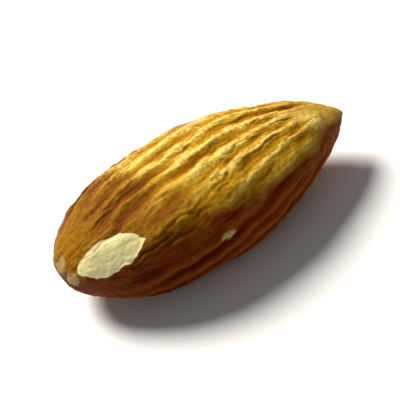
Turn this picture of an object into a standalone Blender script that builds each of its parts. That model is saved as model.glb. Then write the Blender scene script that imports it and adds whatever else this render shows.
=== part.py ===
"""A shelled almond kernel in its brown skin, lying on its flatter broad face.

Metres, +Z up. The round end is at -X and the point at +X. The back edge, the fuller one, is at
-Y, and the seam edge, where the kernel hung in its shell, at +Y. The origin is on the resting
plane, under the middle of the kernel's bounding box. Stations run along the kernel from 0 at
the round end to 1 at the point. Turns run round it, in radians, from the seam edge (+Y) over
the top (+Z) to the back edge.
"""

import math
import random

import bmesh
import bpy
from mathutils import Vector, noise

# Driving dimensions
KERNEL_LENGTH = 0.0270
BACK_HALF_WIDTH = 0.0065
SEAM_HALF_WIDTH = 0.0064
TOP_HALF_THICKNESS = 0.0045
BELLY_HALF_THICKNESS = 0.0037

# How quickly each outline opens at the round end and closes at the point (0.5 is a round nose)
BACK_POWERS = (0.53, 0.69)
SEAM_POWERS = (0.55, 0.75)
THICKNESS_POWERS = (0.54, 0.70)
SQUARENESS = 2.6  # 2 is an ellipse; more puts shoulders on the cross-section

TIP_LEAN = 0.0002  # how far the point leans towards the seam edge
TIP_RISE = 0.0003  # how far the point is lifted off the kernel's middle plane
TWIST = math.radians(5)  # of the round end against the point
LUMP_HEIGHT = 0.00016
LUMP_SIZE = 0.0075

# The ribs of the skin, all running from the round end to the point
RIB_COUNT = 20
RIB_HEIGHT = 0.00032
RIB_WANDER = 0.42  # sideways drift, as a share of the rib spacing
RIB_LAY = math.radians(62)  # how far the ribs turn round the kernel, from the back towards the seam
EDGE_RIB_SHARE = 0.55  # ribs on the narrow edges, beside those on the broad faces
RIB_SEED = 11

SEAM_RIDGE_HEIGHT = 0.00020
SEAM_RIDGE_HALF_WIDTH = 0.10  # radians
BEAK_LENGTH = 0.0002
BEAK_RADIUS = 0.0009
SCAR_DEPTH = 0.00022  # dimple where the seed stalk met the round end
SCAR_RADIUS = 0.0013

BELLY_CUT = 0.00012  # depth of the flat spot that the kernel rests on
BELLY_CALM = (0.0075, 0.0045, 0.0020)  # half-axes of the egg within which its ribs fade

# The chip: a flat graze that took the skin off the upper back shoulder, near the round end
CHIP_STATION = 0.151
CHIP_TURN = math.radians(130)
CHIP_DEPTH = 0.00020
CHIP_CALM = (0.0046, 0.0028, 0.0028)

COLUMNS_PER_RIB = 6  # one on the crest, one in the groove, two on each flank
ROWS = 36
ROW_EVENNESS = 0.35  # 0 crowds the rows at both ends, as on a globe; 1 spaces them evenly

SKIN_COLOUR = (0.36, 0.165, 0.045, 1.0)
FLESH_COLOUR = (0.72, 0.60, 0.34, 1.0)


def outline(station, powers):
    """Height, 0 to 1, of a one-humped outline that starts at the round end and ends at the point."""
    end_power, tip_power = powers
    crest = end_power / (end_power + tip_power)
    peak = crest**end_power * (1 - crest) ** tip_power
    return station**end_power * (1 - station) ** tip_power / peak


def fade(low, high, value):
    """0 below low, 1 above high, and an even S between them."""
    share = min(1.0, max(0.0, (value - low) / (high - low)))
    return share * share * (3 - 2 * share)


def body_point(station, turn):
    """A point of the kernel's smooth body, before ribs, lumps and marks."""
    across, up = math.cos(turn), math.sin(turn)
    seam_share = (1 + across) / 2
    half_width = SEAM_HALF_WIDTH * outline(station, SEAM_POWERS) * seam_share
    half_width += BACK_HALF_WIDTH * outline(station, BACK_POWERS) * (1 - seam_share)
    top_share = (1 + up) / 2
    half_thickness = TOP_HALF_THICKNESS * top_share + BELLY_HALF_THICKNESS * (1 - top_share)
    half_thickness *= outline(station, THICKNESS_POWERS)
    reach = (abs(across) ** SQUARENESS + abs(up) ** SQUARENESS) ** (-1 / SQUARENESS)
    y, z = half_width * reach * across, half_thickness * reach * up
    angle = TWIST * (station - 0.5)
    y, z = y * math.cos(angle) - z * math.sin(angle), y * math.sin(angle) + z * math.cos(angle)
    y += TIP_LEAN * station**3
    z += TIP_RISE * station**2
    return Vector((KERNEL_LENGTH * (station - 0.5), y, z))


def make_ribs():
    """Each rib's strength, sharpness and reach along the kernel."""
    draw = random.Random(RIB_SEED)
    ribs = []
    for _ in range(RIB_COUNT):
        strength = draw.uniform(0.55, 1.15)
        sharpness = draw.uniform(0.9, 1.9)
        start = draw.uniform(0.02, 0.12)
        end = draw.uniform(0.84, 0.97)
        ribs.append((strength, sharpness, start, end))
    return ribs


def turn_of(around, station):
    """The turn of a rib line. around is its place in ribs, counted round the kernel."""
    base = 2 * math.pi * around / RIB_COUNT
    drift = noise.noise(Vector((1.6 * math.cos(base), 1.6 * math.sin(base), 2.4 * station)))
    base += 2 * math.pi / RIB_COUNT * RIB_WANDER * 2 * drift - RIB_LAY * (station - 0.5)
    flatness = (BACK_HALF_WIDTH - TOP_HALF_THICKNESS) / (BACK_HALF_WIDTH + TOP_HALF_THICKNESS)
    return base + flatness / 2 * math.sin(2 * base)


def rib_height(ribs, around, station, turn):
    """Height of the ribs at a place, with the skin's mean level at zero."""
    nearest = round(around)
    strength, sharpness, start, end = ribs[nearest % RIB_COUNT]
    crest = (0.5 + 0.5 * math.cos(2 * math.pi * (around - nearest))) ** sharpness
    reach = fade(start, start + 0.14, station) * (1 - fade(end - 0.10, end, station))
    ripple = 1 + 0.35 * noise.noise(Vector((nearest * 3.7, 6 * station, 0.5)))
    broad_share = EDGE_RIB_SHARE + (1 - EDGE_RIB_SHARE) * abs(math.sin(turn)) ** 1.5
    return RIB_HEIGHT * broad_share * (strength * ripple * reach * crest - 0.35)


def seam_height(station, turn):
    """The low ridge of the seam, from the scar to the point."""
    off = math.sin(turn / 2) * 2 / SEAM_RIDGE_HALF_WIDTH
    reach = fade(0.02, 0.12, station) * (1 - fade(0.88, 0.98, station))
    return SEAM_RIDGE_HEIGHT * reach * math.exp(-off * off)


def calm(point, centre, half_axes):
    """1 at the centre of an egg-shaped space, where the skin lies smooth, falling to 0 outside it."""
    offset = [(a - b) / half for a, b, half in zip(point, centre, half_axes)]
    return math.exp(-(sum(share * share for share in offset) ** 1.5))


def shape_kernel(bm):
    """Moves the points of a globe, whose poles are on Z, out to the kernel's skin."""
    ribs = make_ribs()
    chip_centre = body_point(CHIP_STATION, CHIP_TURN)
    belly_centre = body_point(0.45, -math.pi / 2)
    places = []
    for vert in bm.verts:
        polar = math.acos(max(-1.0, min(1.0, -vert.co.z)))
        globe_station, even_station = (1 - math.cos(polar)) / 2, polar / math.pi
        station = globe_station + (even_station - globe_station) * ROW_EVENNESS
        around = (math.atan2(vert.co.y, vert.co.x) / (2 * math.pi) * RIB_COUNT) % RIB_COUNT
        turn = turn_of(around, station) % (2 * math.pi)
        vert.co = body_point(station, turn)
        places.append((vert, station, around, turn))
    bm.normal_update()
    lifts = {}
    for vert, station, around, turn in places:
        lumps = LUMP_HEIGHT * noise.noise(vert.co / LUMP_SIZE + Vector((3.1, 0.7, 5.2)))
        fine = rib_height(ribs, around, station, turn) + seam_height(station, turn)
        from_end = (vert.co - body_point(0.0, 0.0)).length / SCAR_RADIUS
        scar = -SCAR_DEPTH * math.exp(-from_end * from_end)
        fine *= 1 - calm(vert.co, belly_centre, BELLY_CALM)
        fine *= 1 - calm(vert.co, chip_centre, CHIP_CALM)
        lifts[vert] = lumps + fine + scar
    for vert, lift in lifts.items():
        off_axis = math.hypot(vert.co.y - TIP_LEAN, vert.co.z - TIP_RISE) / BEAK_RADIUS
        beak = BEAK_LENGTH * math.exp(-off_axis * off_axis) if vert.co.x > 0 else 0.0
        vert.co += vert.normal * lift + Vector((beak, 0, 0))


def cut_flat(bm, point, normal):
    """Cuts off what stands out past a plane, and closes the cut with one flat face. Returns that face."""
    cut = bmesh.ops.bisect_plane(
        bm,
        geom=bm.verts[:] + bm.edges[:] + bm.faces[:],
        dist=1e-7,
        plane_co=point,
        plane_no=normal,
        clear_outer=True,
    )
    rim = [item for item in cut["geom_cut"] if isinstance(item, bmesh.types.BMEdge)]
    return bmesh.ops.edgeloop_fill(bm, edges=rim)["faces"]


def chip_plane():
    """A point on the chip's flat, and the direction that it faces."""
    station, turn, step = CHIP_STATION, CHIP_TURN, 0.01
    along = body_point(station + step, turn) - body_point(station - step, turn)
    around = body_point(station, turn + step) - body_point(station, turn - step)
    facing = around.cross(along).normalized()
    surface = body_point(station, turn)
    if facing.dot(surface - Vector((surface.x, 0, 0))) < 0:
        facing.negate()
    return surface - facing * CHIP_DEPTH, facing


def material(name, colour, roughness):
    made = bpy.data.materials.new(name)
    made.use_nodes = True
    shader = made.node_tree.nodes["Principled BSDF"]
    shader.inputs["Base Color"].default_value = colour
    shader.inputs["Roughness"].default_value = roughness
    shader.inputs["Metallic"].default_value = 0.0
    return made


def make_kernel():
    bm = bmesh.new()
    bmesh.ops.create_uvsphere(
        bm, u_segments=RIB_COUNT * COLUMNS_PER_RIB, v_segments=ROWS, radius=1.0
    )
    shape_kernel(bm)
    chip_faces = cut_flat(bm, *chip_plane())
    lowest = min(vert.co.z for vert in bm.verts)
    cut_flat(bm, Vector((0, 0, lowest + BELLY_CUT)), Vector((0, 0, -1)))
    for face in chip_faces:
        face.material_index = 1
    xs, ys, zs = zip(*(vert.co for vert in bm.verts))
    middle = Vector(((min(xs) + max(xs)) / 2, (min(ys) + max(ys)) / 2, min(zs)))
    bmesh.ops.translate(bm, verts=bm.verts, vec=-middle)
    bmesh.ops.recalc_face_normals(bm, faces=bm.faces)
    mesh = bpy.data.meshes.new("almond_kernel")
    bm.to_mesh(mesh)
    bm.free()
    mesh.shade_smooth()
    mesh.set_sharp_from_angle(angle=math.radians(35))
    mesh.materials.append(material("almond_skin", SKIN_COLOUR, 0.6))
    mesh.materials.append(material("almond_flesh", FLESH_COLOUR, 0.55))
    kernel = bpy.data.objects.new("almond_kernel", mesh)
    bpy.context.scene.collection.objects.link(kernel)


for old in list(bpy.data.objects):
    bpy.data.objects.remove(old)
make_kernel()
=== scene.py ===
import math

import bmesh
import bpy
import numpy as np
from mathutils import Matrix, Vector, noise


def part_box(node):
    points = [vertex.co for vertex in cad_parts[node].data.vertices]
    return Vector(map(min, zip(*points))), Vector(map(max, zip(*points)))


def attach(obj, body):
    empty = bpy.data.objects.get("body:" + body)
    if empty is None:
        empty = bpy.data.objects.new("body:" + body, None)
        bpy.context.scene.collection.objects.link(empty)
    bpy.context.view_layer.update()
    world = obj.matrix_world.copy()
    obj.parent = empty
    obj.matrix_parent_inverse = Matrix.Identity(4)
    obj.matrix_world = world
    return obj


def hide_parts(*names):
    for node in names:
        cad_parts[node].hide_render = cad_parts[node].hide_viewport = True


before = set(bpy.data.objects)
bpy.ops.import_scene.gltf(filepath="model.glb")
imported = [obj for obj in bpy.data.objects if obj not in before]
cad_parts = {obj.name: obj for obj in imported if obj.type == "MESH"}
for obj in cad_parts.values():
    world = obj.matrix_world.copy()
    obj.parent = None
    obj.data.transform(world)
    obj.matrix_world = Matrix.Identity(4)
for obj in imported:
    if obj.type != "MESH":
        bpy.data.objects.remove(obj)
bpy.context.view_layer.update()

# The kernel lies along X with its round end at -X, its fuller back edge at -Y and its broad faces
# up and down. station runs along it from 0 at the round end to 1 at the point, and turn runs round it
# in radians, from the seam edge (+Y) over the top (+Z) to the back edge.


def fade(low, high, values):  # 0 below low, 1 above high, an even S between
    share = np.clip((values - low) / (high - low), 0, 1)
    return share * share * (3 - 2 * share)


def noiseAt(points, size, seed):  # smooth noise, about -0.5 to 0.5, with lumps of this size
    shifted = points / size + np.array([seed * 5.31, seed * 2.97, seed * 7.73])
    return np.array([noise.noise(point) for point in shifted.tolist()])


kernel = {
    "columns": 324,
    "rows": 304,
    "rowEvenness": 0.55,  # 0 crowds the rows at both ends, 1 spaces them evenly
    "columnShift": 1 / 10.8,  # in radians, evens out the columns on the flattened body
    "length": 0.0270,
    "backHalfWidth": 0.0065,
    "seamHalfWidth": 0.0064,
    "topHalfThickness": 0.0045,
    "bellyHalfThickness": 0.0037,
    "backPowers": (0.53, 0.69),  # how quickly the outline opens at the round end and closes at the point
    "seamPowers": (0.55, 0.75),
    "thicknessPowers": (0.54, 0.70),
    "squareness": 2.6,  # 2 is an ellipse, more puts shoulders on the cross-section
    "tipLean": 0.0002,
    "tipRise": 0.0003,
    "twist": math.radians(5),
    "lumpHeight": 0.00030,
    "lumpSize": 0.0062,
    "beakLength": 0.0002,
    "beakRadius": 0.0009,
    "flatDepth": 0.00012,  # of the spot that it rests on
    "rodRadius": 0.005,  # of the plain rod on which the grooves are laid out
}


def outline(station, powers):
    endPower, tipPower = powers
    crest = endPower / (endPower + tipPower)
    peak = crest**endPower * (1 - crest) ** tipPower
    return station**endPower * (1 - station) ** tipPower / peak


def bodyPoints(station, turn):
    across, up = np.cos(turn), np.sin(turn)
    seamShare, topShare = (1 + across) / 2, (1 + up) / 2
    halfWidth = kernel["seamHalfWidth"] * outline(station, kernel["seamPowers"]) * seamShare
    halfWidth += kernel["backHalfWidth"] * outline(station, kernel["backPowers"]) * (1 - seamShare)
    halfThickness = kernel["topHalfThickness"] * topShare + kernel["bellyHalfThickness"] * (1 - topShare)
    halfThickness *= outline(station, kernel["thicknessPowers"])
    square = kernel["squareness"]
    reach = (np.abs(across) ** square + np.abs(up) ** square) ** (-1 / square)
    y, z = halfWidth * reach * across, halfThickness * reach * up
    angle = kernel["twist"] * (station - 0.5)
    y, z = y * np.cos(angle) - z * np.sin(angle), y * np.sin(angle) + z * np.cos(angle)
    y = y + kernel["tipLean"] * station**3
    z = z + kernel["tipRise"] * station**2
    return np.stack([kernel["length"] * (station - 0.5), y, z], axis=1)


mainGrooves = {
    "count": 20,
    "phase": 0.5,  # shifts them all round the kernel, in ridges
    "seed": 4,
    "depth": 0.00027,
    "strengths": (0.6, 1.0),
    "sharpness": (0.50, 1.05),  # below 1 the ridges are the narrow part, above 1 the grooves are
    "wanders": ((0.0065, 0.55), (0.0017, 0.22)),  # size of the drift, and how many ridges it reaches
    "breakSize": 0.0042,
    "breaks": 0.35,  # how much of a groove's depth comes and goes along it
    "starts": (0.03, 0.24),  # the stations between which they begin
}
fineGrooves = {
    "count": 66,
    "phase": 0.0,
    "seed": 9,
    "depth": 0.00009,
    "strengths": (0.3, 1.0),
    "sharpness": (0.7, 1.4),
    "wanders": ((0.0048, 1.6), (0.0012, 0.7)),
    "breakSize": 0.0022,
    "breaks": 1.0,
    "starts": (0.00, 0.10),
}
allGrooves = {
    "lay": math.radians(62),  # how far they turn round the kernel, from the back towards the seam
    "ends": (0.82, 0.96),  # the stations between which they run out
    "deepening": (-0.03, 0.14),  # from before its start to where a groove is at its full depth
    "runOut": 0.08,
    "fineShare": 0.35,  # what a fine groove counts for beside a main one in the colours
}


def grooveDepths(spec, turn, station, rod):  # 0 on the ridges to about 1 in the deepest groove
    draw = np.random.default_rng(spec["seed"])
    strengths = draw.uniform(*spec["strengths"], spec["count"])
    sharpness = draw.uniform(*spec["sharpness"], spec["count"])
    starts = draw.uniform(*spec["starts"], spec["count"])
    ends = draw.uniform(*allGrooves["ends"], spec["count"])
    laid = turn + allGrooves["lay"] * (station - 0.5)
    place = laid / (2 * math.pi) * spec["count"] + spec["phase"]
    for step, (size, reach) in enumerate(spec["wanders"]):
        place = place + reach * noiseAt(rod, size, spec["seed"] + step)
    nearest = np.round(place)
    near = 0.5 + 0.5 * np.cos(2 * math.pi * (place - nearest))
    index = nearest.astype(int) % spec["count"]
    along = station * kernel["length"] / spec["breakSize"]
    change = noiseAt(np.stack([index * 3.7, along, index * 0.9], axis=1), 1.0, spec["seed"])
    missing = 0.5 - 1.6 * change  # about 0 where a groove is whole and 1 where it breaks off
    depth = strengths[index] * np.clip(1 - spec["breaks"] * missing, 0, 1.3)
    early, late = allGrooves["deepening"]
    depth *= fade(starts[index] + early, starts[index] + late, station)
    depth *= 1 - fade(ends[index] - allGrooves["runOut"], ends[index], station)
    return depth * near ** sharpness[index]


seam = {"height": 0.00018, "halfWidth": 0.085, "rise": (0.02, 0.12), "fall": (0.90, 0.98)}
scar = {  # where the stalk met the round end
    "centre": (-0.0134, -0.0006, 0.0004),
    "radius": 0.0012,
    "depth": 0.00018,
    "raggedSize": 0.0011,
    "ragged": 0.5,
    "rim": (0.75, 1.15),  # in radii, where its colour fades out
    "calm": 0.75,  # how much of the other relief it takes away
}
calmBelly = {"halfLength": 0.0080, "halfWidth": 0.0048, "share": 0.7}
calmShoulder = {"turn": 140, "spread": 24, "share": 0.55}  # the upper face's bend to the back, in degrees
beads = {
    "grains": ((0.00080, 0.000085), (0.00038, 0.000050)),  # their sizes and heights
    "inGrooves": 0.4,  # how much of their height is left in the grooves
}
knob = {  # a small swelling beside the point
    "station": 0.895,
    "turn": 114,
    "radius": 0.0011,
    "height": 0.00024,
    "calm": 0.8,  # how much of the grooves it takes away
}


def knobShare(points):
    centre = bodyPoints(np.array([knob["station"]]), np.array([math.radians(knob["turn"])]))
    return np.exp(-((np.linalg.norm(points - centre, axis=1) / knob["radius"]) ** 2))


def skinRelief(points, station, turn, rod, swelling):
    offShoulder = (np.degrees(turn) - calmShoulder["turn"]) / calmShoulder["spread"]
    shallow = 1 - calmShoulder["share"] * np.exp(-offShoulder * offShoulder)
    mainDepth = grooveDepths(mainGrooves, turn, station, rod) * (1 - knob["calm"] * swelling)
    fineDepth = grooveDepths(fineGrooves, turn, station, rod)
    ridge = np.clip(1 - mainDepth - allGrooves["fineShare"] * fineDepth, 0, 1)
    mainDepth *= shallow  # crest is taken after this, so the calm shoulder is pale like a crest
    crest = np.clip(1 - mainDepth - allGrooves["fineShare"] * fineDepth, 0, 1)
    relief = -mainGrooves["depth"] * mainDepth - fineGrooves["depth"] * fineDepth
    for step, (size, height) in enumerate(beads["grains"]):
        share = beads["inGrooves"] + (1 - beads["inGrooves"]) * crest
        relief += height * noiseAt(points, size, 20 + step) * share
    off = 2 * np.sin(turn / 2) / seam["halfWidth"]
    seamShare = np.exp(-off * off) * fade(*seam["rise"], station) * (1 - fade(*seam["fall"], station))
    relief += seam["height"] * seamShare
    relief += knob["height"] * swelling
    ragged = 1 + scar["ragged"] * noiseAt(points, scar["raggedSize"], 31)
    fromScar = np.linalg.norm(points - np.array(scar["centre"]), axis=1) / (scar["radius"] * ragged)
    scarShare = 1 - fade(*scar["rim"], fromScar)
    along, aside = points[:, 0] / calmBelly["halfLength"], points[:, 1] / calmBelly["halfWidth"]
    calm = np.exp(-((along**2 + aside**2) ** 1.5)) * (points[:, 2] < 0) * calmBelly["share"]
    relief *= (1 - calm) * (1 - scar["calm"] * scarShare)
    relief -= scar["depth"] * np.exp(-fromScar * fromScar)
    return relief, crest, ridge, scarShare


# Each bare patch: its place on the kernel (turn in degrees), half its length and width, how deep it is cut,
# how ragged its rim is, and how clean its flesh is, from 0, stained like the skin, to 1.
barePatches = {
    "chip": {
        "station": 0.151,
        "turn": 131,
        "half": (0.0033, 0.00140),
        "depth": 0.00018,
        "ragged": 0.16,
        "clean": 1.0,
    },
    "endRub": {
        "station": 0.020,
        "turn": 100,
        "half": (0.0010, 0.0008),
        "depth": 0.00005,
        "ragged": 0.5,
        "clean": 0.12,
    },
    "lowerRub": {
        "station": 0.026,
        "turn": 148,
        "half": (0.0009, 0.0007),
        "depth": 0.00005,
        "ragged": 0.5,
        "clean": 0.2,
    },
    "nick": {
        "station": 0.485,
        "turn": 166,
        "half": (0.00080, 0.00052),
        "depth": 0.00008,
        "ragged": 0.45,
        "clean": 0.3,
    },
}
allPatches = {
    "leafPower": 1.15,  # 2 rounds off the ends of the patch, less points them
    "rimGrains": ((0.9, 1.0), (0.35, 0.6)),  # size in half-widths of the patch, and strength
    "fleshGrains": ((0.0011, 0.00005), (0.0003, 0.00002)),  # size and height
    "roundness": 0.45,  # how much of the body's own bend is left on the floor
    "rim": (-0.00003, 0.00013),  # from outside to inside, where the cut reaches its full depth
    "thickness": 0.0035,  # what lies deeper than this belongs to the far side of the kernel
}


def patchAxes(patch):  # the middle of a patch, and the ways along it, across it and out of it
    turn, step, smallTurn = math.radians(patch["turn"]), 0.004, 0.02
    stations = np.clip([patch["station"], patch["station"] + step, patch["station"] - step], 0.0005, 1)
    centre, ahead, behind = bodyPoints(stations, np.full(3, turn))
    left, right = bodyPoints(np.full(2, patch["station"]), np.array([turn + smallTurn, turn - smallTurn]))
    along = (ahead - behind) / np.linalg.norm(ahead - behind)
    facing = np.cross(along, left - right)
    facing /= np.linalg.norm(facing)
    if facing @ (centre - np.array([centre[0], 0, 0])) < 0:
        facing = -facing
    return centre, along, np.cross(facing, along), facing


def cutPatch(points, patch, seed):
    # cuts a nearly flat patch through the skin, and gives the new points and how far inside it each one is
    centre, along, across, facing = patchAxes(patch)
    offset = points - centre
    u, v, w = offset @ along, offset @ across, offset @ facing
    halfLength, halfWidth = patch["half"]
    ragged = 0
    for step, (size, strength) in enumerate(allPatches["rimGrains"]):
        ragged = ragged + strength * noiseAt(points, size * halfWidth, seed + 3 * step)
    leaf = (u / halfLength) ** 2 + np.abs(v / halfWidth) ** allPatches["leafPower"]
    inside = (1 - leaf + patch["ragged"] * ragged) * halfWidth
    inside[w < -allPatches["thickness"]] = -halfWidth
    flesh = 0
    for step, (size, height) in enumerate(allPatches["fleshGrains"]):
        flesh = flesh + height * noiseAt(points, size, seed + 1 + step)
    floorLevel = allPatches["roundness"] * w - patch["depth"] + flesh
    lowered = np.minimum(w, floorLevel)
    share = fade(*allPatches["rim"], inside)
    return points + facing * ((lowered - w) * share)[:, None], inside


# The pale dust, which is partly painted light on the lit upper face and painted highlights on its crests,
# lies thickest on the upper face: all of it near the point, but near the round end only its seam side.
dustAndPaintedLight = {
    "stations": (0.28, 0.66),  # where the dusty part, partly painted light, widens from its first limit to its second
    "backLimits": (76, 134),  # in degrees, as the next two
    "seamLimit": 24,
    "softness": 28,
    "setIn": (0.18, 0.34),
    "point": (0.76, 0.90),  # where it thins out again
    "pointLoss": 0.85,
    "elsewhere": 0.16,
}
# How dark and red the skin is, at turns in degrees from the seam edge over the top: most on the back and
# below. This is partly the skin's own redder brown and partly painted shade on the back edge and underside.
redAndShade = {
    "turns": (0, 34, 66, 125, 150, 205, 250, 310, 360),
    "levels": (0.75, 0.6, 0.0, 0.0, 1.0, 0.95, 0.78, 0.72, 0.75),
    "wobbles": ((0.0032, 18.2), (0.0012, 13.0)),  # size, and how many degrees the borders move
}
# The smooth amber skin of the round end: where it fades out, and how much further it reaches at each turn.
amber = {
    "stations": (0.14, 0.38),
    "turns": (60, 122, 200, 300),
    "reach": (0.0, 0.14, 0.06, 0.0),
    "wobbleSize": 0.0030,
    "wobble": 0.12,
    "point": (0.76, 0.90),  # the point is amber too, by the next share
    "pointShare": 0.36,
}


def dustAndPaintedLightShare(station, degrees, swelling):
    low, high = dustAndPaintedLight["backLimits"]
    limit = low + (high - low) * fade(*dustAndPaintedLight["stations"], station)
    soft = dustAndPaintedLight["softness"]
    lit = 1 - fade(limit - soft / 2, limit + soft / 2, degrees)
    lit *= fade(dustAndPaintedLight["seamLimit"], dustAndPaintedLight["seamLimit"] + soft, degrees)
    lit *= fade(*dustAndPaintedLight["setIn"], station)
    lit *= 1 - dustAndPaintedLight["pointLoss"] * fade(*dustAndPaintedLight["point"], station)
    lit = np.maximum(lit, swelling)  # the swelling is dusty all over, partly a painted highlight
    return dustAndPaintedLight["elsewhere"] + (1 - dustAndPaintedLight["elsewhere"]) * lit


def redAndShadeShare(points, degrees):
    wobbled = degrees
    for step, (size, reach) in enumerate(redAndShade["wobbles"]):
        wobbled = wobbled + reach * noiseAt(points, size, 61 + step)
    return np.interp(wobbled % 360, redAndShade["turns"], redAndShade["levels"])


def amberShare(points, station, degrees, swelling):
    further = np.interp(degrees, amber["turns"], amber["reach"])
    further = further + amber["wobble"] * noiseAt(points, amber["wobbleSize"], 63)
    atPoint = amber["pointShare"] * fade(*amber["point"], station) * (1 - swelling)
    return np.maximum(1 - fade(*amber["stations"], station - further), atPoint)


def storeAttribute(mesh, name, values, kind="FLOAT", field="value"):
    made = mesh.attributes.new(name, kind, "POINT")
    made.data.foreach_set(field, np.ascontiguousarray(values, np.float32).ravel())


def readVertices(mesh, source, field):
    values = np.empty(len(mesh.vertices) * 3, np.float32)
    source.foreach_get(field, values)
    return values.reshape(-1, 3).astype(float)


def moveVertices(mesh, points):
    mesh.vertices.foreach_set("co", points.astype(np.float32).ravel())
    mesh.update()


def makeKernel():
    bm = bmesh.new()
    bmesh.ops.create_uvsphere(bm, u_segments=kernel["columns"], v_segments=kernel["rows"], radius=1.0)
    mesh = bpy.data.meshes.new("almondKernelSkin")
    bm.to_mesh(mesh)
    bm.free()
    globe = readVertices(mesh, mesh.vertices, "co")
    polar = np.arccos(np.clip(-globe[:, 2], -1, 1))
    even, crowded = polar / math.pi, (1 - np.cos(polar)) / 2
    station = crowded + (even - crowded) * kernel["rowEvenness"]
    turn = np.arctan2(globe[:, 1], globe[:, 0]) % (2 * math.pi)
    spread = turn + kernel["columnShift"] * np.sin(2 * turn)
    rodY, rodZ = kernel["rodRadius"] * np.cos(turn), kernel["rodRadius"] * np.sin(turn)
    rod = np.stack([rodY, rodZ, kernel["length"] * station], axis=1)
    points = bodyPoints(station, spread)
    moveVertices(mesh, points)
    normals = readVertices(mesh, mesh.vertex_normals, "vector")
    points += normals * (kernel["lumpHeight"] * noiseAt(points, kernel["lumpSize"], 1))[:, None]
    swelling = knobShare(points)
    relief, crest, ridge, scarShare = skinRelief(points, station, turn, rod, swelling)
    points += normals * relief[:, None]
    fromAxis = np.hypot(points[:, 1] - kernel["tipLean"], points[:, 2] - kernel["tipRise"])
    beak = kernel["beakLength"] * np.exp(-((fromAxis / kernel["beakRadius"]) ** 2))
    points[:, 0] += beak * (points[:, 0] > 0)
    bare = np.full(len(points), -0.01)  # the depth inside a patch, which starts far outside them all
    clean = np.ones(len(points))
    for step, patch in enumerate(barePatches.values()):
        points, inside = cutPatch(points, patch, 50 + 5 * step)
        clean[inside > bare] = patch["clean"]
        bare = np.maximum(bare, inside)
    low, high = points.min(axis=0), points.max(axis=0)
    low[2] += kernel["flatDepth"]
    wantedLow, wantedHigh = np.array(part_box("almond_kernel")[0]), np.array(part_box("almond_kernel")[1])
    points = wantedLow + (points - low) * (wantedHigh - wantedLow) / (high - low)
    points[:, 2] = np.maximum(points[:, 2], wantedLow[2])
    moveVertices(mesh, points)
    mesh.shade_smooth()
    degrees = np.degrees(spread) % 360
    storeAttribute(mesh, "grain", rod, "FLOAT_VECTOR", "vector")
    storeAttribute(mesh, "crest", crest)
    storeAttribute(mesh, "ridge", ridge)
    storeAttribute(mesh, "bare", bare * 1000)  # in millimetres
    storeAttribute(mesh, "clean", clean)
    storeAttribute(mesh, "scar", scarShare)
    # the dust share, partly painted light on the upper face
    storeAttribute(mesh, "dustAndPaintedLight", dustAndPaintedLightShare(station, degrees, swelling))
    # the darker, redder share, partly painted shade on the back and below
    storeAttribute(mesh, "redAndShade", redAndShadeShare(points, degrees))
    storeAttribute(mesh, "amber", amberShare(points, station, degrees, swelling))
    piece = bpy.data.objects.new("almondKernelSkin", mesh)
    bpy.context.scene.collection.objects.link(piece)
    return piece


def addNode(tree, kind, **settings):
    node = tree.nodes.new("ShaderNode" + kind)
    for name, value in settings.items():
        setattr(node, name, value)
    return node


def attribute(tree, name, output="Fac"):
    return addNode(tree, "Attribute", attribute_name=name).outputs[output]


def noiseTexture(tree, vector, scale, detail, roughness=0.55):
    node = addNode(tree, "TexNoise")
    tree.links.new(vector, node.inputs["Vector"])
    node.inputs["Scale"].default_value = scale
    node.inputs["Detail"].default_value = detail
    node.inputs["Roughness"].default_value = roughness
    return node.outputs["Fac"]


def setInput(tree, socket, value):
    if isinstance(value, bpy.types.NodeSocket):
        tree.links.new(value, socket)
    else:
        socket.default_value = value


def calc(tree, operation, a, b, c=0.0):
    node = addNode(tree, "Math", operation=operation)
    for socket, value in zip(node.inputs, (a, b, c)):
        setInput(tree, socket, value)
    return node.outputs[0]


def span(tree, value, low, high, toLow=0.0, toHigh=1.0):  # a smooth step between two levels
    node = addNode(tree, "MapRange", interpolation_type="SMOOTHSTEP")
    setInput(tree, node.inputs["Value"], value)
    setInput(tree, node.inputs["From Min"], low)
    setInput(tree, node.inputs["From Max"], high)
    setInput(tree, node.inputs["To Min"], toLow)
    setInput(tree, node.inputs["To Max"], toHigh)
    return node.outputs["Result"]


def mixColour(tree, factor, a, b, blend="MIX"):
    node = addNode(tree, "Mix", data_type="RGBA", blend_type=blend)
    setInput(tree, node.inputs["Factor"], factor)
    setInput(tree, node.inputs["A"], a)
    setInput(tree, node.inputs["B"], b)
    return node.outputs["Result"]


def ramp(tree, value, stops):
    node = addNode(tree, "ValToRGB")
    elements = node.color_ramp.elements
    while len(elements) < len(stops):
        elements.new(0.5)
    for element, (position, colour) in zip(elements, stops):
        element.position = position
        element.color = colour
    tree.links.new(value, node.inputs["Fac"])
    return node.outputs["Color"]


def stretched(tree, vector, scale):
    node = addNode(tree, "Mapping")
    tree.links.new(vector, node.inputs["Vector"])
    node.inputs["Scale"].default_value = scale
    return node.outputs["Vector"]


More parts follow.
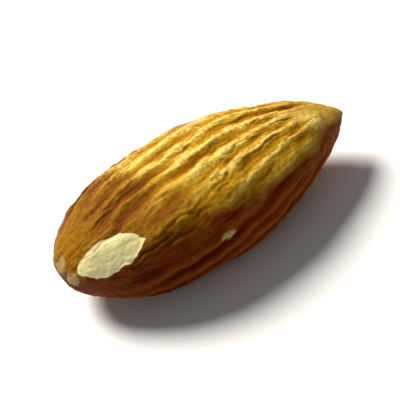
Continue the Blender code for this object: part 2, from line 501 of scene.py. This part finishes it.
skinLook = {
    "grooves": (0.21, 0.070, 0.002, 1),
    "flanks": (0.34, 0.155, 0.004, 1),
    "ridges": (0.50, 0.290, 0.014, 1),
    "dustAndHighlight": (0.86, 0.64, 0.20, 1),
    "end": (0.50, 0.35, 0.03, 1),  # multiplies the colour round the round end
    "redAndShaded": (0.35, 0.052, 0.008, 1),  # multiplies the colour where the skin is darkest, partly painted shade
    "scar": (0.075, 0.036, 0.010, 1),
    "fleshRim": (0.90, 0.80, 0.46, 1),
    "flesh": (0.76, 0.66, 0.32, 1),
    "fleshMiddle": (0.58, 0.52, 0.24, 1),
    "stain": (0.27, 0.150, 0.030, 1),
    "tornSkin": (0.20, 0.085, 0.02, 1),
    "roughGrooves": 0.72,
    "roughRidges": 0.50,
    "roughGranules": 0.12,  # added to the roughness by the granules
    "smoothFlesh": 0.08,  # taken off it on bare flesh
    "grainHeight": 0.00012,
    "sheen": (1.0, 0.78, 0.42, 1),
    "glow": (1.0, 0.5, 0.22),  # how far each colour of light spreads under the skin
}
skinGrain = {  # noise scales, in lumps to the metre
    "patches": 260,
    "fleshClouds": 700,
    "tears": 2600,
    "streaks": 3000,
    "streakStretch": (1, 1, 0.12),
    "granules": 3400,
}
# How much each lightens the skin.
brightening = {"streaks": 0.90, "granules": 0.80, "patches": 0.30, "amber": -0.30}


def paintSkin(tree, crest, granules, streaks, patches):  # from the grooves' dark brown to the dusty ridges, with painted light on the dusty upper face and painted shade on the back and below
    ambered, redAndShaded = attribute(tree, "amber"), attribute(tree, "redAndShade")
    level = calc(tree, "MULTIPLY_ADD", streaks, brightening["streaks"], crest)
    level = calc(tree, "MULTIPLY_ADD", granules, brightening["granules"], level)
    level = calc(tree, "MULTIPLY_ADD", patches, brightening["patches"], level)
    level = calc(tree, "MULTIPLY_ADD", ambered, brightening["amber"], level)
    level = calc(tree, "SUBTRACT", level, 1.00)  # the mean of the three grains together
    stops = (0.05, skinLook["grooves"]), (0.42, skinLook["flanks"]), (0.80, skinLook["ridges"])
    colour = ramp(tree, level, stops)

    # pale dust on the ridges, partly painted highlight and painted light on the upper face
    dustAndHighlightShare = calc(tree, "MULTIPLY_ADD", granules, 1.5, attribute(tree, "ridge"))
    dustAndHighlightShare = span(tree, dustAndHighlightShare, 1.34, 1.88)  # only high on the ridges, broken up by the granules
    dustAndHighlightShare = calc(tree, "MULTIPLY", dustAndHighlightShare, attribute(tree, "dustAndPaintedLight"))
    colour = mixColour(tree, dustAndHighlightShare, colour, skinLook["dustAndHighlight"])

    golden = calc(tree, "MULTIPLY_ADD", redAndShaded, -0.35, 1.0)  # less of it where the skin is darker and redder, partly painted shade
    colour = mixColour(tree, calc(tree, "MULTIPLY", ambered, golden), colour, skinLook["end"], "MULTIPLY")
    # painted shade, partly the skin's own redder brown: darker and redder on the back edge and below
    redAndShadedShare = calc(tree, "MULTIPLY_ADD", crest, -0.14, calc(tree, "ADD", redAndShaded, 0.04))
    redAndShadedShare = calc(tree, "MAXIMUM", redAndShadedShare, 0.0)
    colour = mixColour(tree, redAndShadedShare, colour, skinLook["redAndShaded"], "MULTIPLY")
    scarEdge = calc(tree, "SUBTRACT", attribute(tree, "scar"), 0.25)
    scarEdge = calc(tree, "MULTIPLY_ADD", granules, 0.5, scarEdge)
    return mixColour(tree, span(tree, scarEdge, 0.2, 0.8, 0, 0.85), colour, skinLook["scar"])


def paintPatches(tree, objectPoint, colour):  # adds the bare patches, and gives how bare each place is
    bare, clean = attribute(tree, "bare"), attribute(tree, "clean")
    tearing = noiseTexture(tree, objectPoint, skinGrain["tears"], 3, 0.6)
    clouds = noiseTexture(tree, objectPoint, skinGrain["fleshClouds"], 4, 0.6)
    stained = calc(tree, "SUBTRACT", 1.0, clean)
    patchy = calc(tree, "MULTIPLY_ADD", stained, 0.80, 0.22)  # a stained patch is the more broken up
    torn = calc(tree, "MULTIPLY_ADD", calc(tree, "SUBTRACT", tearing, 0.5), patchy, bare)
    middle = calc(tree, "SUBTRACT", calc(tree, "MULTIPLY_ADD", clouds, 0.9, bare), 0.30)
    stops = (0.12, skinLook["fleshRim"]), (0.50, skinLook["flesh"]), (0.90, skinLook["fleshMiddle"])
    fleshTone = mixColour(tree, clean, skinLook["stain"], ramp(tree, middle, stops))
    fleshShare = span(tree, torn, 0.0, calc(tree, "MULTIPLY_ADD", stained, 0.45, 0.07))
    colour = mixColour(tree, span(tree, torn, -0.14, 0.0, 0, 0.45), colour, skinLook["tornSkin"])
    return mixColour(tree, fleshShare, colour, fleshTone), fleshShare


def makeSkinMaterial():
    material = bpy.data.materials.new("almondSkin")
    material.use_nodes = True
    tree = material.node_tree
    shader = tree.nodes["Principled BSDF"]
    objectPoint = addNode(tree, "TexCoord").outputs["Object"]
    grain = stretched(tree, attribute(tree, "grain", "Vector"), skinGrain["streakStretch"])
    crest = attribute(tree, "crest")
    patches = noiseTexture(tree, objectPoint, skinGrain["patches"], 3)
    granules = noiseTexture(tree, objectPoint, skinGrain["granules"], 4, 0.65)
    streaks = noiseTexture(tree, grain, skinGrain["streaks"], 4, 0.6)

    colour = paintSkin(tree, crest, granules, streaks, patches)
    colour, fleshShare = paintPatches(tree, objectPoint, colour)
    tree.links.new(colour, shader.inputs["Base Color"])

    rough = span(tree, crest, 0.0, 1.0, skinLook["roughGrooves"], skinLook["roughRidges"])
    rough = calc(tree, "MULTIPLY_ADD", granules, skinLook["roughGranules"], rough)
    rough = calc(tree, "MULTIPLY_ADD", fleshShare, -skinLook["smoothFlesh"], rough)
    tree.links.new(rough, shader.inputs["Roughness"])
    shader.inputs["IOR"].default_value = 1.2
    shader.inputs["Specular IOR Level"].default_value = 0.3
    shader.inputs["Specular Tint"].default_value = skinLook["sheen"]
    shader.inputs["Subsurface Weight"].default_value = 0.06
    shader.inputs["Subsurface Radius"].default_value = skinLook["glow"]
    shader.inputs["Subsurface Scale"].default_value = 0.0006

    height = calc(tree, "MULTIPLY_ADD", granules, 0.55, calc(tree, "MULTIPLY", streaks, 0.75))
    bump = addNode(tree, "Bump")
    bump.inputs["Strength"].default_value = 0.9
    bump.inputs["Distance"].default_value = skinLook["grainHeight"]
    tree.links.new(height, bump.inputs["Height"])
    tree.links.new(bump.outputs["Normal"], shader.inputs["Normal"])
    return material


table = {"radius": 0.09, "sides": 96, "colour": (0.86, 0.855, 0.84, 1), "roughness": 0.8}


def makeTable():
    bm = bmesh.new()
    bmesh.ops.create_circle(bm, cap_ends=True, segments=table["sides"], radius=table["radius"])
    mesh = bpy.data.meshes.new("paleTable")
    bm.to_mesh(mesh)
    bm.free()
    made = bpy.data.objects.new("paleTable", mesh)
    bpy.context.scene.collection.objects.link(made)
    material = bpy.data.materials.new("paleTable")
    material.use_nodes = True
    shader = material.node_tree.nodes["Principled BSDF"]
    shader.inputs["Base Color"].default_value = table["colour"]
    shader.inputs["Roughness"].default_value = table["roughness"]
    mesh.materials.append(material)


def direction(azimuth, elevation):  # from the kernel towards a lamp or the camera
    a, e = math.radians(azimuth), math.radians(elevation)
    return Vector((math.sin(a) * math.cos(e), -math.cos(a) * math.cos(e), math.sin(e)))


lamps = {
    "key": {
        "azimuth": 200,
        "elevation": 47,
        "distance": 0.45,
        "size": 0.24,
        "power": 4.2,
        "tint": (1, 0.97, 0.92),
    },
    "fill": {
        "azimuth": -50,
        "elevation": 30,
        "distance": 0.55,
        "size": 0.40,
        "power": 0.15,
        "tint": (0.95, 0.97, 1),
    },
}
room = {
    "light": 0.15,  # what it gives to the kernel
    "seen": 1.0,  # how bright it looks behind the kernel
    "tint": (1.0, 0.99, 0.97, 1),
}


def makeLamps():
    for name, lamp in lamps.items():
        light = bpy.data.lights.new(name, "AREA")
        light.shape = "DISK"
        light.size = lamp["size"]
        light.energy = lamp["power"]
        light.color = lamp["tint"]
        made = bpy.data.objects.new(name, light)
        towards = direction(lamp["azimuth"], lamp["elevation"])
        made.location = towards * lamp["distance"]
        made.rotation_euler = towards.to_track_quat("Z", "Y").to_euler()
        bpy.context.scene.collection.objects.link(made)


def makeRoom():
    world = bpy.data.worlds.new("softRoom")
    world.use_nodes = True
    tree = world.node_tree
    background = tree.nodes["Background"]
    background.inputs["Color"].default_value = room["tint"]
    seen = addNode(tree, "LightPath").outputs["Is Camera Ray"]
    strength = span(tree, seen, 0.0, 1.0, room["light"], room["seen"])
    tree.links.new(strength, background.inputs["Strength"])
    bpy.context.scene.world = world


shot = {
    "azimuth": -12,
    "elevation": 46,
    "roll": 20.7,
    "lens": 180,
    "seenWidth": 0.0325,  # at the kernel
    "aim": (-0.0004, 0.0, 0.0032),
    "nearest": 0.01,
}


def makeCamera():
    lens = bpy.data.cameras.new("camera")
    lens.lens = shot["lens"]
    lens.clip_start = shot["nearest"]
    camera = bpy.data.objects.new("camera", lens)
    towards = direction(shot["azimuth"], shot["elevation"])
    distance = shot["seenWidth"] * shot["lens"] / lens.sensor_width
    rolled = Matrix.Rotation(math.radians(-shot["roll"]), 3, "Z")
    camera.rotation_euler = (towards.to_track_quat("Z", "Y").to_matrix() @ rolled).to_euler()
    camera.location = Vector(shot["aim"]) + towards * distance
    bpy.context.scene.collection.objects.link(camera)
    bpy.context.scene.camera = camera


almond = makeKernel()
print("kernel:", len(almond.data.polygons), "faces")
almond.data.materials.append(makeSkinMaterial())
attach(almond, "root")
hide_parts("almond_kernel")
print("skin and flesh painted")
makeTable()
makeLamps()
makeRoom()
makeCamera()
bpy.context.scene.view_settings.view_transform = "Standard"
print("table, lamps, room and camera in place")
